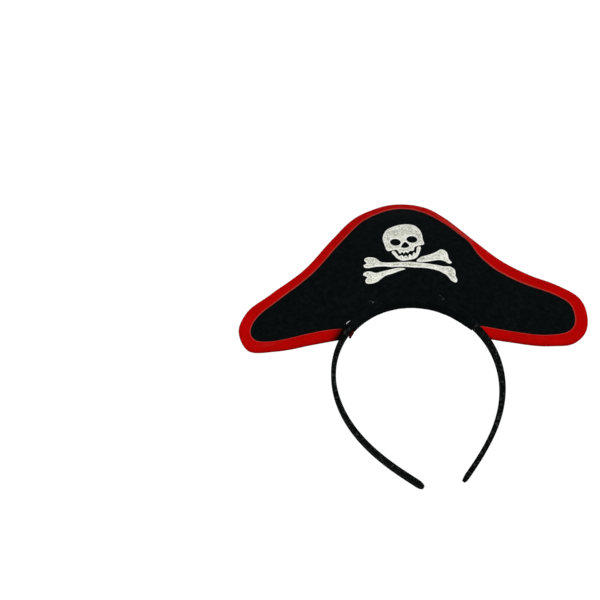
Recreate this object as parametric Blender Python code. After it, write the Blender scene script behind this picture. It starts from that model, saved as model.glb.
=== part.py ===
"""Pirate hat on a hairband, modelled as its separate pieces.

A felt hat shape, bound in red tape, stands on a spring hoop wound with ribbon. Metres, +Z up, and
the front faces -Y. The origin is the middle of the hoop's underside at its top, where it rests on
the wearer's head. The hat is glued on a few degrees round the hoop, as such hats often are.
"""

import math

import bmesh
import bpy
import numpy as np

MM = 0.001
GAP = 0.3 * MM  # clearance between two pieces that touch
FINE = 0.5 * MM  # spacing of the samples along a curve before it is divided
SHARP_ANGLE = math.radians(35)  # edges that turn more than this are shaded sharp

# Hoop, a strip that bends less and less towards its straight ends
HOOP_HALF_LENGTH = 194 * MM  # along the centre line, from the middle of the top to an end
HOOP_TOP_BEND = 16.4  # curvature at the top, in 1/m
HOOP_STRAIGHTENING = 2.75  # power by which the curvature falls to nothing at the end
HOOP_WIDTH = 9.0 * MM
HOOP_THICKNESS = 3.6 * MM
HOOP_CHAMFER = 0.8 * MM
HOOP_STEP = 6 * MM
HOOP_SAMPLES = 800
LEG_FLAT = 16 * MM  # straight stretch at each end
RIBBON_WALL = 0.6 * MM
TIP_LENGTH = 5 * MM
TIP_STATIONS = (0, 0.45, 0.75, 0.95)  # shares of the tip's length
TIP_THINNING = 0.45  # share of its thickness that the tip loses at its end

# Hat: the tape's outer edge in the flat, as (across, up) in mm from the top of the hoop's centre
# line, from the left end over the crown to the right end. It is cut by hand, so not quite even.
HAT_OUTLINE = [
    (-52.5, -30.7), (-78, -33.7), (-107, -37.6), (-128, -37), (-135.5, -21.5), (-130.5, -6),
    (-112.5, 12), (-81.5, 39.5), (-61, 68.5), (-32, 108), (0, 124.7), (17, 121.6), (29, 113),
    (39, 98.5), (57, 67.5), (79.5, 40), (98, 27.3), (120, 14.3), (134, 0), (136.5, -14),
    (133, -28.5), (124.5, -36.2), (107, -38), (78, -35.6), (52.5, -32),
]
HAT_TURN = math.radians(8)  # how far round the hoop the hat is glued on, clockwise from the front
HAT_PIVOT_DROP = 62 * MM  # the turn's centre, below the top of the hoop
HAT_CURL = 2.42  # 1/m, how the crown curls back with the square of its height
HAT_BOW = 5.5 * MM  # how far the wings stand back
HAT_FLANK = 0.04  # extra bow for each metre of height
HAT_FLAT_HALF = 45 * MM  # half width of the stretch across the hoop that doesn't bow
HAT_BOW_SPAN = 60 * MM  # distance over which the bow builds up
FELT = 1.0 * MM
FOAM = 1.5 * MM
ARCH_GAP = 0.6 * MM  # clearance between the hat's lower edge and the hoop
SHEET_CELL = 12 * MM  # spacing of the points inside a curved sheet
EDGE_STEP = 4.5 * MM  # spacing of the points along a sheet's edge

# Red tape folded over the hat's edge
TAPE_WIDTH = 9.6 * MM
TAPE = 0.6 * MM
FELT_INSET = TAPE + 2 * GAP  # the felt's edge, in from the tape's outer edge
TAPE_STEP = 5.5 * MM
TAIL_SIZE = (7 * MM, 5 * MM)  # the spare end of the tape: along the hoop, across it
TAIL_PEEP = 3.5 * MM  # how far it sticks out past the strip's end
TAIL_STATIONS = 4

# Felt strip folded round the hoop and up both faces of the hat
STRIP = 1.0 * MM
STRIP_RISE = 2.6 * MM  # above the hoop's outer face
STRIP_SHOULDER = 1.4 * MM  # height at which it meets the hat
STRIP_STEP = 5 * MM

# Emblem: outlines in the flat in mm, as (across, up) from the top of the hoop's centre line
EMBLEM_THICKNESS = 0.6 * MM
EMBLEM_STEP = 0.75 * MM
EMBLEM_CELL = 10 * MM
SKULL_OUTLINE = [
    (7, 85.6), (12.1, 83.1), (15, 78), (16.5, 71), (16.5, 64), (16.5, 58), (13.2, 57.1),
    (11.2, 56.4), (9.3, 55.6), (8.2, 53.9), (7.8, 51.6), (6.5, 50.4), (4.7, 50.8), (3.1, 49),
    (2.3, 47.9), (1.4, 49.1), (0.6, 49.5), (-0.1, 48.5), (-0.8, 47.6), (-1.5, 48.6), (-2.3, 49.6),
    (-3.2, 48.4), (-4.1, 47.5), (-4.8, 48.4), (-5.4, 50.4), (-6.1, 51.8), (-7.2, 52.4),
    (-9.2, 52.1), (-11.3, 51.4), (-13.9, 51.1), (-15, 52.6), (-15.6, 56), (-16.5, 61),
    (-17, 66.5), (-15.5, 73), (-12, 79), (-7, 82.6), (-1, 85.1),
]
EYES = [  # centre, half width and half height, tilt in degrees
    (-6.7, 61.5, 4.5, 4.7, 7),
    (7.4, 64.6, 4.6, 4.7, 10),
]
EYE_POINTS = 14
NOSE_OUTLINE = [(1.6, 61.8), (4.3, 55.8), (1.1, 53.9), (-2.2, 54.4)]
JAW_OUTLINE = [
    (-9, 51), (-8, 49.9), (-7, 47.9), (-6.1, 45.9), (-5.3, 44.5), (-4.6, 44.2), (-3.9, 44.9),
    (-3, 45.4), (-2.2, 44.9), (-1.3, 43.3), (-0.4, 44.4), (0.6, 45), (1.3, 44.3), (2, 43.3),
    (2.6, 42.4), (2.7, 44.4), (3, 45.8), (3.8, 46.6), (4.6, 45.5), (5.5, 44.2), (6.1, 45.3),
    (6.5, 47.2), (7.4, 48.5), (8.2, 47.7), (8.9, 46.9), (9.4, 48.6), (9.9, 51.3), (10.6, 54.1),
    (11.6, 55.3), (12.7, 55.5), (13.6, 54.5), (13.2, 51.8), (12.2, 48.8), (11.3, 46.4),
    (10.1, 44.1), (8.2, 42), (6, 41), (3.8, 40.4), (1.3, 40), (-2.1, 39.5), (-3.8, 39.9),
    (-5.4, 40.9), (-7.6, 43), (-9.2, 46), (-10.4, 47.7), (-10.8, 49.3), (-10.1, 50.6),
]
FRONT_BONE_OUTLINE = [
    (-34, 40.8), (-33.5, 42.3), (-31, 43.8), (-28.5, 43.8), (-25, 42.8), (-20.5, 38.3), (-13, 37.8),
    (6, 37.3), (15, 35.8), (25, 33.3), (30, 31.8), (35, 31.3), (38, 28.3), (38.5, 24.8),
    (38, 22.3), (39, 17.3), (38, 15.8), (35.5, 16.8), (30.5, 23.8), (25, 27.8), (18, 30.3),
    (8, 31.8), (-2.5, 32.8), (-12, 33.5), (-20, 33.8), (-26.5, 33.3), (-30.5, 32.3), (-34, 32.8),
    (-35, 34.3), (-32.2, 37.6),
]
REAR_UPPER_OUTLINE = [
    (8.6, 38.7), (12.6, 42.7), (18.1, 44.7), (23.1, 46.7),
    (27.1, 49.2), (29.2, 50.7), (31.7, 50.5), (33.7, 48.5),
    (35.2, 39), (36.7, 35.5), (34.7, 35), (31.7, 37.5), (27.6, 39.2), (22.6, 38.7), (16.6, 37.7),
]
REAR_LOWER_OUTLINE = [
    (-1.2, 30.3), (-5.2, 31.5), (-9.2, 31.5),
    (-15.7, 29.8), (-21.2, 27.8), (-25.7, 26.8), (-29.2, 28.3),
    (-32.7, 28.3), (-35.2, 26.8), (-35.7, 25.3),
    (-32.5, 22.8), (-34.2, 19.3), (-33.7, 17.3), (-30.7, 16.3),
    (-26.2, 17.3), (-21.7, 20.8), (-17.2, 24.3), (-11.2, 26.8), (-5.7, 28.8),
]

# Dabs of glue on the front along the strip's top: (along the hoop from its top, radius) in mm
GLUE_DABS = [(-43.5, 1.5), (-19, 1.1), (33, 1.1), (50, 1.2)]
GLUE_BEAD_WIDTH = 1.1 * MM
GLUE_BEAD_HEIGHT = 0.9 * MM
GLUE_DAB_HEIGHT = 0.7 * MM
GLUE_DAB_SIDES = 8
GLUE_DAB_STATIONS = (0, 0.5, 0.85)  # shares of a dab's height

STACK_HALF = FOAM / 2 + GAP + FELT  # half the thickness of the felt and foam sandwich
HOOP_CENTRE_Z = HOOP_THICKNESS / 2 + GAP + STRIP


# Materials

COLOURS = {
    "plastic": ((0.55, 0.55, 0.53), 0.45),
    "ribbon": ((0.006, 0.006, 0.007), 0.55),
    "felt": ((0.005, 0.006, 0.007), 0.95),
    "foam": ((0.03, 0.03, 0.03), 0.9),
    "red_satin": ((0.50, 0.004, 0.003), 0.4),
    "glue": ((0.75, 0.74, 0.70), 0.25),
    "emblem": ((0.68, 0.70, 0.60), 0.7),
}


def material(name):
    """The Principled material of this name, made on first use."""
    if name in bpy.data.materials:
        return bpy.data.materials[name]
    colour, roughness = COLOURS[name]
    made = bpy.data.materials.new(name)
    made.use_nodes = True
    shader = made.node_tree.nodes["Principled BSDF"]
    shader.inputs["Base Color"].default_value = (*colour, 1)
    shader.inputs["Roughness"].default_value = roughness
    shader.inputs["Metallic"].default_value = 0
    return made


# Curves in the plane

def smooth(points, step, closed=False):
    """Points about `step` apart on a smooth curve through `points`."""
    knots = np.asarray(points, dtype=float)
    if closed:
        knots = np.vstack([knots[-1], knots, knots[0], knots[1]])
    else:
        knots = np.vstack([2 * knots[0] - knots[1], knots, 2 * knots[-1] - knots[-2]])
    spans = np.linalg.norm(np.diff(knots, axis=0), axis=1)
    slopes = np.diff(knots, axis=0) / spans[:, None]
    weights = (spans[:-1] / (spans[:-1] + spans[1:]))[:, None]
    tangents = slopes[:-1] * (1 - weights) + slopes[1:] * weights
    curve = []
    for start, end, span, out, into in zip(
        knots[1:-2], knots[2:-1], spans[1:-1], tangents[:-1], tangents[1:]
    ):
        t = np.arange(0, 1, FINE / span)[:, None]
        curve.append(
            (2 * t**3 - 3 * t**2 + 1) * start
            + (t**3 - 2 * t**2 + t) * span * out
            + (3 * t**2 - 2 * t**3) * end
            + (t**3 - t**2) * span * into
        )
    curve = np.vstack(curve + [knots[-2:-1]])
    return divide(curve, step)[:-1] if closed else divide(curve, step)


def divide(curve, step=None, count=None):
    """The curve again, with its points spaced evenly."""
    lengths = np.r_[0, np.cumsum(np.linalg.norm(np.diff(curve, axis=0), axis=1))]
    count = count or max(2, round(lengths[-1] / step))
    places = np.linspace(0, lengths[-1], count + 1)
    return np.column_stack([np.interp(places, lengths, column) for column in curve.T])


# Hoop

def hoop_table():
    """Arc length, x, z and bend angle down the right half of the hoop's centre line."""
    along = np.linspace(0, HOOP_HALF_LENGTH, HOOP_SAMPLES)
    whole = HOOP_HALF_LENGTH + TIP_LENGTH
    share = along / whole
    power = HOOP_STRAIGHTENING + 1
    bend = HOOP_TOP_BEND * whole * (share - share**power / power)
    step = along[1]
    across = np.r_[0, np.cumsum(np.cos(bend[1:]) + np.cos(bend[:-1])) * step / 2]
    down = np.r_[0, np.cumsum(np.sin(bend[1:]) + np.sin(bend[:-1])) * step / 2]
    return along, across, HOOP_CENTRE_Z - down, bend


HOOP_TABLE = hoop_table()


def hoop_point(along, out=0.0):
    """(x, z) at an arc length (negative on the left), `out` from the centre line."""
    side = -1 if along < 0 else 1
    x, z, bend = (np.interp(abs(along), HOOP_TABLE[0], column) for column in HOOP_TABLE[1:])
    return side * (x + out * math.sin(bend)), z + out * math.cos(bend)


def hoop_place(along, y, out):
    x, z = hoop_point(along, out)
    return x, y, z


def hoop_nearest(x, z):
    """Arc length of the hoop's nearest point to (x, z), and the distance to it."""
    distances = np.hypot(HOOP_TABLE[1] - abs(x), HOOP_TABLE[2] - z)
    nearest = int(distances.argmin())
    return math.copysign(HOOP_TABLE[0][nearest], x), distances[nearest]


# Hat surface. (u, v) are its flat coordinates, upright, with v up from the hoop's top

def hat_back(u, v):
    """How far the middle of the hat stands back at (u, v)."""
    reach = max(abs(u) - HAT_FLAT_HALF, 0) / HAT_BOW_SPAN
    return HAT_CURL * v * v + (HAT_BOW + HAT_FLANK * v) * math.sin(math.pi / 2 * reach) ** 2


def hat_place(u, v, depth=0.0):
    """The world point at (u, v), `depth` behind the hat's middle surface."""
    slope_u = (hat_back(u + FINE, v) - hat_back(u - FINE, v)) / (2 * FINE)
    slope_v = (hat_back(u, v + FINE) - hat_back(u, v - FINE)) / (2 * FINE)
    scale = depth / math.sqrt(1 + slope_u**2 + slope_v**2)
    x, z = from_flat(u - slope_u * scale, v - slope_v * scale)
    return x, hat_back(u, v) + scale, z


def from_flat(u, v):
    """World (x, z) of the flat point (u, v), with the hat turned round the hoop."""
    up = v + HAT_PIVOT_DROP
    x = math.cos(HAT_TURN) * u + math.sin(HAT_TURN) * up
    z = math.cos(HAT_TURN) * up - math.sin(HAT_TURN) * u
    return x, z - HAT_PIVOT_DROP + HOOP_CENTRE_Z


def to_flat(x, z):
    """The flat point (u, v) of world (x, z)."""
    up = z + HAT_PIVOT_DROP - HOOP_CENTRE_Z
    u = math.cos(HAT_TURN) * x - math.sin(HAT_TURN) * up
    v = math.cos(HAT_TURN) * up + math.sin(HAT_TURN) * x
    return u, v - HAT_PIVOT_DROP


def hat_outline():
    """The hat's whole edge, from left to right over the crown, past the hoop at both ends."""
    return smooth(np.array(HAT_OUTLINE) * MM, FINE)


def clear_of_hoop(path, gap):
    """The stretch of a flat path that keeps `gap` from the hoop's sides."""
    clear = [hoop_nearest(*from_flat(u, v))[1] > HOOP_THICKNESS / 2 + gap for u, v in path]
    first = clear.index(True)
    last = len(clear) - clear[::-1].index(True)
    return path[first:last]


def inset_path(inset):
    """The tape's outer edge moved inwards, cut off where it meets the hoop."""
    edge = hat_outline()
    run = np.gradient(edge, axis=0)
    run /= np.linalg.norm(run, axis=1)[:, None]
    inward = np.column_stack([run[:, 1], -run[:, 0]])
    return clear_of_hoop(edge + inset * inward, ARCH_GAP)


def hat_loop():
    """The closed flat outline of the felt: the edge, then the arch along the hoop."""
    edge = divide(inset_path(FELT_INSET), EDGE_STEP)
    start = hoop_nearest(*from_flat(*edge[-1]))[0]
    end = hoop_nearest(*from_flat(*edge[0]))[0]
    count = round((start - end) / EDGE_STEP)
    out = HOOP_THICKNESS / 2 + ARCH_GAP
    arch = [to_flat(*hoop_point(along, out)) for along in np.linspace(start, end, count + 1)[1:-1]]
    return np.vstack([edge, arch])


# Solids

def finish(mesh, name, slot):
    """Make the bmesh an object of its own, closed, with its faces pointing out."""
    bmesh.ops.recalc_face_normals(mesh, faces=mesh.faces)
    if mesh.calc_volume(signed=True) < 0:
        bmesh.ops.reverse_faces(mesh, faces=mesh.faces)
    data = bpy.data.meshes.new(name)
    mesh.to_mesh(data)
    mesh.free()
    data.materials.append(material(slot))
    data.shade_smooth()
    data.set_sharp_from_angle(angle=SHARP_ANGLE)
    bpy.context.scene.collection.objects.link(bpy.data.objects.new(name, data))


def add_loft(mesh, rings):
    """Add a closed body through rings of points that all have the same number of corners."""
    rows = [[mesh.verts.new(point) for point in ring] for ring in rings]
    for row, following in zip(rows, rows[1:]):
        for i in range(len(row)):
            j = (i + 1) % len(row)
            mesh.faces.new((row[i], row[j], following[j], following[i]))
    mesh.faces.new(rows[0][::-1])
    mesh.faces.new(rows[-1])


def loft(name, slot, rings):
    """A node whose body runs through the rings."""
    mesh = bmesh.new()
    add_loft(mesh, rings)
    bmesh.ops.triangulate(mesh, faces=mesh.faces)
    finish(mesh, name, slot)


def wall(name, slot, rings, closed=False):
    """A node between an outer and an inner line of points: a tube if closed, else a channel."""
    mesh = bmesh.new()
    sides = [[[mesh.verts.new(point) for point in ring[k]] for ring in rings] for k in (0, 1)]
    count = len(rings[0][0])
    pairs = [(i, (i + 1) % count) for i in range(count if closed else count - 1)]
    for rows in sides:
        for row, following in zip(rows, rows[1:]):
            for i, j in pairs:
                mesh.faces.new((row[i], row[j], following[j], following[i]))
    outer, inner = sides
    for end in (0, -1):
        for i, j in pairs:
            mesh.faces.new((outer[end][i], outer[end][j], inner[end][j], inner[end][i]))
    if not closed:
        for i in (0, -1):
            for k in range(len(rings) - 1):
                mesh.faces.new((outer[k][i], outer[k + 1][i], inner[k + 1][i], inner[k][i]))
    bmesh.ops.triangulate(mesh, faces=mesh.faces)
    finish(mesh, name, slot)


def flat_face(mesh, loops):
    """Fill the outline, loops[0], less the holes in the other loops, with triangles."""
    edges = []
    for loop in loops:
        corners = [mesh.verts.new((u, v, 0)) for u, v in loop]
        edges += [mesh.edges.new((a, b)) for a, b in zip(corners, corners[1:] + corners[:1])]
    bmesh.ops.triangle_fill(mesh, use_beauty=True, use_dissolve=len(loops) == 1, edges=edges)


def cut_grid(mesh, cell):
    """Divide the flat faces along lines `cell` apart both ways."""
    for axis in (0, 1):
        low = min(corner.co[axis] for corner in mesh.verts)
        high = max(corner.co[axis] for corner in mesh.verts)
        count = round((high - low) / cell)
        normal = (1, 0, 0) if axis == 0 else (0, 1, 0)
        for i in range(1, count):
            place = low + (high - low) * i / count
            point = (place, 0, 0) if axis == 0 else (0, place, 0)
            everything = mesh.verts[:] + mesh.edges[:] + mesh.faces[:]
            bmesh.ops.bisect_plane(mesh, geom=everything, plane_co=point, plane_no=normal)


def sheet(name, slot, loops, front, back, cell):
    """A sheet that follows the hat's surface, between the depths `front` and `back`."""
    flat = bmesh.new()
    flat_face(flat, loops)
    cut_grid(flat, cell)
    bmesh.ops.triangulate(flat, faces=flat.faces)
    solid = bmesh.new()
    sides = {}
    for depth in (front, back):
        sides[depth] = [solid.verts.new(hat_place(v.co.x, v.co.y, depth)) for v in flat.verts]
    flat.verts.index_update()
    for face in flat.faces:
        corners = [corner.index for corner in face.verts]
        solid.faces.new([sides[front][i] for i in corners])
        solid.faces.new([sides[back][i] for i in corners[::-1]])
    for edge in flat.edges:
        if edge.is_boundary:
            i, j = (corner.index for corner in edge.verts)
            rim = (sides[front][i], sides[front][j], sides[back][j], sides[back][i])
            solid.faces.new(rim)
    bmesh.ops.triangulate(solid, faces=[face for face in solid.faces if len(face.verts) > 3])
    flat.free()
    finish(solid, name, slot)


# Hoop pieces

def band_section(along, half_width, half_thickness, chamfer):
    """Eight corners of the band's section at an arc length."""
    wide, thick = half_width, half_thickness
    corners = [
        (-wide, -thick + chamfer), (-wide + chamfer, -thick),
        (wide - chamfer, -thick), (wide, -thick + chamfer),
        (wide, thick - chamfer), (wide - chamfer, thick),
        (-wide + chamfer, thick), (-wide, thick - chamfer),
    ]
    return [hoop_place(along, y, out) for y, out in corners]


def hoop_stations():
    """Arc lengths along the whole hoop, with one long straight step at each end."""
    bent = HOOP_HALF_LENGTH - LEG_FLAT
    middle = np.linspace(-bent, bent, round(2 * bent / HOOP_STEP) + 1)
    return np.r_[-HOOP_HALF_LENGTH, middle, HOOP_HALF_LENGTH]


def hoop_core():
    half_width = HOOP_WIDTH / 2 - RIBBON_WALL - GAP
    half_thickness = HOOP_THICKNESS / 2 - RIBBON_WALL - GAP
    stations = hoop_stations()
    rings = [band_section(s, half_width, half_thickness, half_thickness / 2) for s in stations]
    loft("hoop_core", "plastic", rings)


def ribbon_sleeve():
    """The ribbon as an open tube round the strip."""
    sizes = [
        (HOOP_WIDTH / 2 - inset, HOOP_THICKNESS / 2 - inset, HOOP_CHAMFER - inset / 2)
        for inset in (0, RIBBON_WALL)
    ]
    rings = [[band_section(s, *size) for size in sizes] for s in hoop_stations()]
    wall("ribbon_sleeve", "ribbon", rings, closed=True)


def ribbon_tip(side):
    """A rounded tongue that closes the ribbon beyond the end of the strip."""
    end = side * HOOP_HALF_LENGTH
    x, z = hoop_point(end)
    bend = HOOP_TABLE[3][-1]
    ahead = (side * math.cos(bend), -math.sin(bend))
    outward = (side * math.sin(bend), math.cos(bend))
    rings = []
    for share in TIP_STATIONS:
        reach = GAP + share * TIP_LENGTH
        width = HOOP_WIDTH / 2 * math.sqrt(1 - share**2)
        thick = HOOP_THICKNESS / 2 * (1 - TIP_THINNING * share**2)
        chamfer = min(HOOP_CHAMFER, thick / 2, width / 2)
        corners = [
            (-width, -thick + chamfer), (-width + chamfer, -thick),
            (width - chamfer, -thick), (width, -thick + chamfer),
            (width, thick - chamfer), (width - chamfer, thick),
            (-width + chamfer, thick), (-width, thick - chamfer),
        ]
        rings.append([
            (x + reach * ahead[0] + out * outward[0], y, z + reach * ahead[1] + out * outward[1])
            for y, out in corners
        ])
    loft("ribbon_tip_left" if side < 0 else "ribbon_tip_right", "ribbon", rings)


# Hat pieces

def hat_sheets():
    loop = hat_loop()
    inner = FOAM / 2 + GAP
    sheet("front_felt", "felt", [loop], -STACK_HALF, -inner, SHEET_CELL)
    sheet("foam_core", "foam", [loop], -FOAM / 2, FOAM / 2, SHEET_CELL)
    sheet("back_felt", "felt", [loop], inner, STACK_HALF, SHEET_CELL)


def edge_binding():
    """Tape folded over the hat's edge, from the hoop on the left to the hoop on the right."""
    inside = STACK_HALF + 2 * GAP
    outside = inside + TAPE
    outer = [
        (TAPE_WIDTH, -outside), (TAPE, -outside), (0, -inside),
        (0, inside), (TAPE, outside), (TAPE_WIDTH, outside),
    ]
    inner = [
        (TAPE_WIDTH, -inside), (2 * TAPE, -inside), (TAPE, TAPE - inside),
        (TAPE, inside - TAPE), (2 * TAPE, inside), (TAPE_WIDTH, inside),
    ]
    count = round(len(inset_path(0)) * FINE / TAPE_STEP)
    paths = {inset: divide(inset_path(inset), count=count) for inset, _ in outer + inner}
    rings = [
        [[hat_place(*paths[inset][i], depth) for inset, depth in line] for line in (outer, inner)]
        for i in range(count + 1)
    ]
    wall("edge_binding", "red_satin", rings)


def strip_ends():
    """Arc lengths between which the strip runs, clear of the tape at both ends."""
    path = inset_path(TAPE_WIDTH)
    margin = 2 * GAP
    left, right = (hoop_nearest(*from_flat(*path[i]))[0] for i in (0, -1))
    return left + margin, right - margin


def hat_y(along, out):
    """How far back the hat's middle is at a point over the hoop."""
    return hat_back(*to_flat(*hoop_point(along, out)))


def strip_ring(along):
    """The strip's section: up one face of the hat, round the hoop and up the other."""
    side = HOOP_WIDTH / 2 + GAP
    under = HOOP_THICKNESS / 2 + GAP
    half = HOOP_THICKNESS / 2
    shoulder, top = half + STRIP_SHOULDER, half + STRIP_RISE
    hug = STACK_HALF + 3 * GAP
    low_y, top_y = hat_y(along, shoulder), hat_y(along, top)
    inner = [
        (top_y - hug, top), (low_y - hug, shoulder), (-side, half),
        (-side, GAP - under), (GAP - side, -under), (side - GAP, -under), (side, GAP - under),
        (side, half), (low_y + hug, shoulder), (top_y + hug, top),
    ]
    outer = [
        (top_y - hug - STRIP, top), (low_y - hug - STRIP, shoulder + STRIP / 2),
        (-side - STRIP, half + STRIP / 3), (-side - STRIP, -under),
        (-side, -under - STRIP), (side, -under - STRIP), (side + STRIP, -under),
        (side + STRIP, half + STRIP / 3), (low_y + hug + STRIP, shoulder + STRIP / 2),
        (top_y + hug + STRIP, top),
    ]
    return [[hoop_place(along, y, out) for y, out in line] for line in (outer, inner)]


def wrap_strip():
    start, end = strip_ends()
    stations = np.linspace(start, end, round((end - start) / STRIP_STEP) + 1)
    wall("wrap_strip", "felt", [strip_ring(s) for s in stations])


def glue_bead(side):
    """Glue in the corner between the hoop's outer face and the hat, under the strip."""
    start, end = strip_ends()
    low = HOOP_THICKNESS / 2 + GAP
    rings = []
    for along in np.linspace(start, end, round((end - start) / STRIP_STEP) + 1):
        face = hat_y(along, low) + side * (STACK_HALF + 1.5 * GAP)
        reach = min(GLUE_BEAD_WIDTH, HOOP_WIDTH / 2 - side * face)
        rings.append([
            hoop_place(along, face, low),
            hoop_place(along, face + side * reach, low),
            hoop_place(along, face, low + GLUE_BEAD_HEIGHT),
        ])
    loft("glue_bead_front" if side < 0 else "glue_bead_back", "glue", rings)


def binding_tail():
    """The tape's spare end, bent under the hoop and stuck to the strip at its left end."""
    under = -HOOP_THICKNESS / 2 - 2 * GAP - STRIP
    length, width = TAIL_SIZE
    start = strip_ends()[0] - TAIL_PEEP
    rings = []
    for along in np.linspace(start, start + length, TAIL_STATIONS):
        rings.append([
            hoop_place(along, 0, under), hoop_place(along, width, under),
            hoop_place(along, width, under - TAPE), hoop_place(along, 0, under - TAPE),
        ])
    loft("binding_tail", "red_satin", rings)


def glue_dabs():
    """Small domes of glue that stand on the felt, just above the strip."""
    for number, (along, radius) in enumerate(GLUE_DABS, start=1):
        out = HOOP_THICKNESS / 2 + STRIP_RISE + (radius + 0.4) * MM
        u, v = to_flat(*hoop_point(along * MM, out))
        rings = []
        for share in GLUE_DAB_STATIONS:
            reach = radius * MM * math.sqrt(1 - share**2)
            depth = -STACK_HALF - GAP - share * GLUE_DAB_HEIGHT
            turns = [math.tau * i / GLUE_DAB_SIDES for i in range(GLUE_DAB_SIDES)]
            rings.append([
                hat_place(u + reach * math.cos(a), v + reach * math.sin(a), depth) for a in turns
            ])
        loft(f"glue_dab_{number}", "glue", rings)


# Emblem

def emblem_piece(name, outline, holes=()):
    loops = [smooth(np.array(outline) * MM, EMBLEM_STEP, closed=True), *holes]
    back = -STACK_HALF - GAP
    sheet(name, "emblem", loops, back - EMBLEM_THICKNESS, back, EMBLEM_CELL)


def eye_loop(across, up, wide, tall, tilt):
    """An oval socket, tilted up to the right."""
    turn = math.radians(tilt)
    loop = []
    for i in range(EYE_POINTS):
        a = math.tau * i / EYE_POINTS
        u, v = wide * math.cos(a), tall * math.sin(a)
        loop.append((across + u * math.cos(turn) - v * math.sin(turn),
                     up + u * math.sin(turn) + v * math.cos(turn)))
    return np.array(loop) * MM


def emblem():
    sockets = [eye_loop(*eye) for eye in EYES]
    nose = smooth(np.array(NOSE_OUTLINE) * MM, EMBLEM_STEP, closed=True)
    emblem_piece("skull", SKULL_OUTLINE, [*sockets, nose])
    emblem_piece("jaw", JAW_OUTLINE)
    emblem_piece("front_bone", FRONT_BONE_OUTLINE)
    emblem_piece("rear_bone_upper", REAR_UPPER_OUTLINE)
    emblem_piece("rear_bone_lower", REAR_LOWER_OUTLINE)


# Build

def clear_scene():
    for old in list(bpy.data.objects):
        bpy.data.objects.remove(old, do_unlink=True)


def build():
    clear_scene()
    hoop_core()
    ribbon_sleeve()
    ribbon_tip(-1)
    ribbon_tip(1)
    hat_sheets()
    edge_binding()
    wrap_strip()
    glue_bead(-1)
    glue_bead(1)
    binding_tail()
    glue_dabs()
    emblem()


build()
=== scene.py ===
"""The looks of a pirate hat on a hairband: felt, satin tape, ribbon, glue and a bonded emblem.

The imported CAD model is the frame. Every cloth piece is rebuilt here as fine cloth in the space of
its CAD solid. Metres, +Z up, and the hat's front faces -Y.
"""

import math
import random

import bmesh
import bpy
import numpy as np
from mathutils import Matrix, Vector, geometry, kdtree, noise


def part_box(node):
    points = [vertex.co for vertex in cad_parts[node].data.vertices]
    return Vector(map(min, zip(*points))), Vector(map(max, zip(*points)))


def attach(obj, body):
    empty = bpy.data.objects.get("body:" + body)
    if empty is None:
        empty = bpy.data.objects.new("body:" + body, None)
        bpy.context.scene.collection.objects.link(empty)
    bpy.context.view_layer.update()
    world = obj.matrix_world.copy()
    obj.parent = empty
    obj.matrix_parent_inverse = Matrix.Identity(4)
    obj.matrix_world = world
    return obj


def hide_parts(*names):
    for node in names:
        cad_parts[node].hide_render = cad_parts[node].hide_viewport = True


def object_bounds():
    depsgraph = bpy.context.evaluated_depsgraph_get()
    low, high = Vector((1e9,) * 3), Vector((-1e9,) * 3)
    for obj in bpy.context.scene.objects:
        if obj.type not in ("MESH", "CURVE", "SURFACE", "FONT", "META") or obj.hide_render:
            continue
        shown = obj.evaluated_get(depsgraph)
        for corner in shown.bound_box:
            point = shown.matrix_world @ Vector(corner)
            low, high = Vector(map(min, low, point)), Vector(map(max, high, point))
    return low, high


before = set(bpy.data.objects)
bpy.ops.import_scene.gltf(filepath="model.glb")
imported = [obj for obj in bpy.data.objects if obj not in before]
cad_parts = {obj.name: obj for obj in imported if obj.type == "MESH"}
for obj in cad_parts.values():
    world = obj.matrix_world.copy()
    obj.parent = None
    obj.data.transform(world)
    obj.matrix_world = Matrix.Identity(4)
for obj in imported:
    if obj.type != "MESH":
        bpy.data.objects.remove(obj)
cad_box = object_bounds()

MM = 0.001
GAP = 0.3 * MM

# The hoop's centre line and section, as the CAD makes them
HOOP_HALF_LENGTH = 194 * MM
HOOP_TOP_BEND = 16.4
HOOP_STRAIGHTENING = 2.75
HOOP_WIDTH = 9.0 * MM
HOOP_THICKNESS = 3.6 * MM
HOOP_SAMPLES = 800
RIBBON_WALL = 0.6 * MM
TIP_LENGTH = 5 * MM

# The hat's surface, as the CAD shapes it
HAT_TURN = math.radians(8)
HAT_PIVOT_DROP = 62 * MM
HAT_CURL = 2.42
HAT_BOW = 5.5 * MM
HAT_FLANK = 0.04
HAT_FLAT_HALF = 45 * MM
HAT_BOW_SPAN = 60 * MM
FELT = 1.0 * MM
FOAM = 1.5 * MM
STRIP = 1.0 * MM
STACK_HALF = FOAM / 2 + GAP + FELT
HOOP_CENTRE_Z = HOOP_THICKNESS / 2 + GAP + STRIP
ARCH_GAP = 0.6 * MM
TAPE_WIDTH = 9.6 * MM
FELT_INSET = 1.2 * MM  # the felt's edge, in from the tape's outer edge
WELD = 0.001 * MM
FINE = 0.5 * MM
FIND_ROUNDS = 6  # enough for hat_find to settle
CURVE_PARTS = 8
SHARP_EDGE = math.radians(50)
SHADING_ANGLE = math.radians(60)
LEAST_SIDE = 10 * MM  # the shortest side a sheet's cut is declared with
LEAST_SHARE = 0.31  # and the least share of its width times length that its area is


# The hoop and the hat's surface

def hoop_table():
    """Arc length, x, z and bend angle down the right half of the hoop's centre line."""
    along = np.linspace(0, HOOP_HALF_LENGTH, HOOP_SAMPLES)
    whole = HOOP_HALF_LENGTH + TIP_LENGTH
    share = along / whole
    power = HOOP_STRAIGHTENING + 1
    bend = HOOP_TOP_BEND * whole * (share - share**power / power)
    step = along[1]
    across = np.r_[0, np.cumsum(np.cos(bend[1:]) + np.cos(bend[:-1])) * step / 2]
    down = np.r_[0, np.cumsum(np.sin(bend[1:]) + np.sin(bend[:-1])) * step / 2]
    return along, across, HOOP_CENTRE_Z - down, bend


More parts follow.
